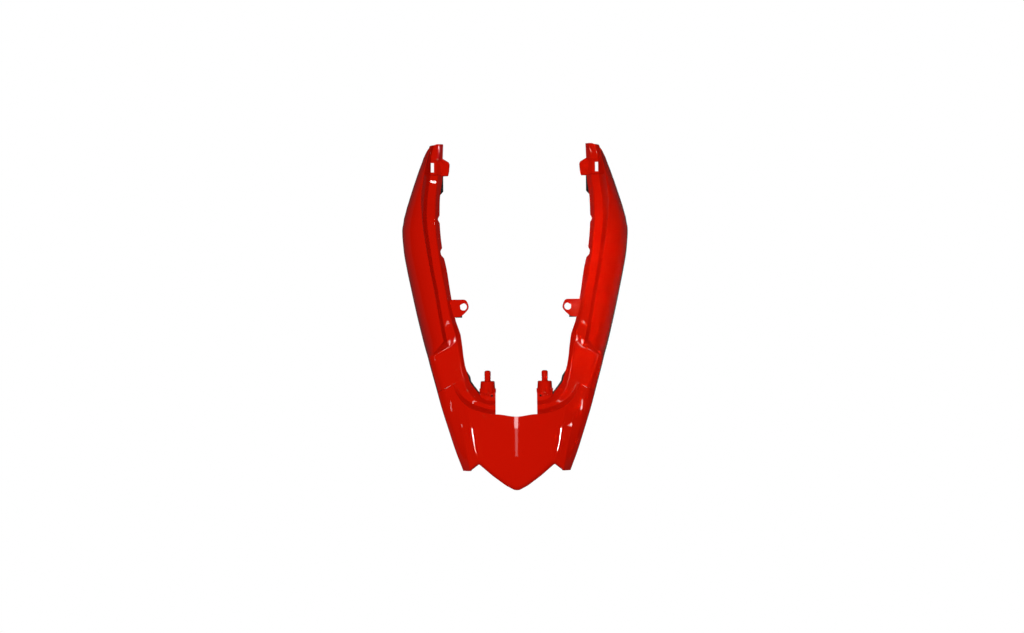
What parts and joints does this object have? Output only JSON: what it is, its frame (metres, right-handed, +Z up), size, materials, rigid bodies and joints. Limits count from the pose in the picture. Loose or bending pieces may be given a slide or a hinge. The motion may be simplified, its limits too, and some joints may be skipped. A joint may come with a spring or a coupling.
{
  "type": "motorcycle tail fairing",
  "caption": "U-shaped rear body cover of a motorcycle: two hollow side cowls and a centre cowl around the passenger seat.",
  "frame": {"origin": "middle of the bounding box's bottom: under the lower edges of the side cowls, on the middle plane", "axes": "+X to the right of the motorcycle, +Y to its front, +Z up"},
  "size_m": [0.3408, 0.52, 0.11],
  "materials": {
    "cowl_paint": "gloss red paint on moulded plastic",
    "screw_steel": "zinc-plated steel"
  },
  "bodies": {
    "root": {"side_cowl_right": "cowl_paint", "side_cowl_left": "cowl_paint", "centre_cowl": "cowl_paint", "joining_screw_right_1": "screw_steel", "joining_screw_right_2": "screw_steel", "joining_screw_left_1": "screw_steel", "joining_screw_left_2": "screw_steel"}
  },
  "joints": []
}
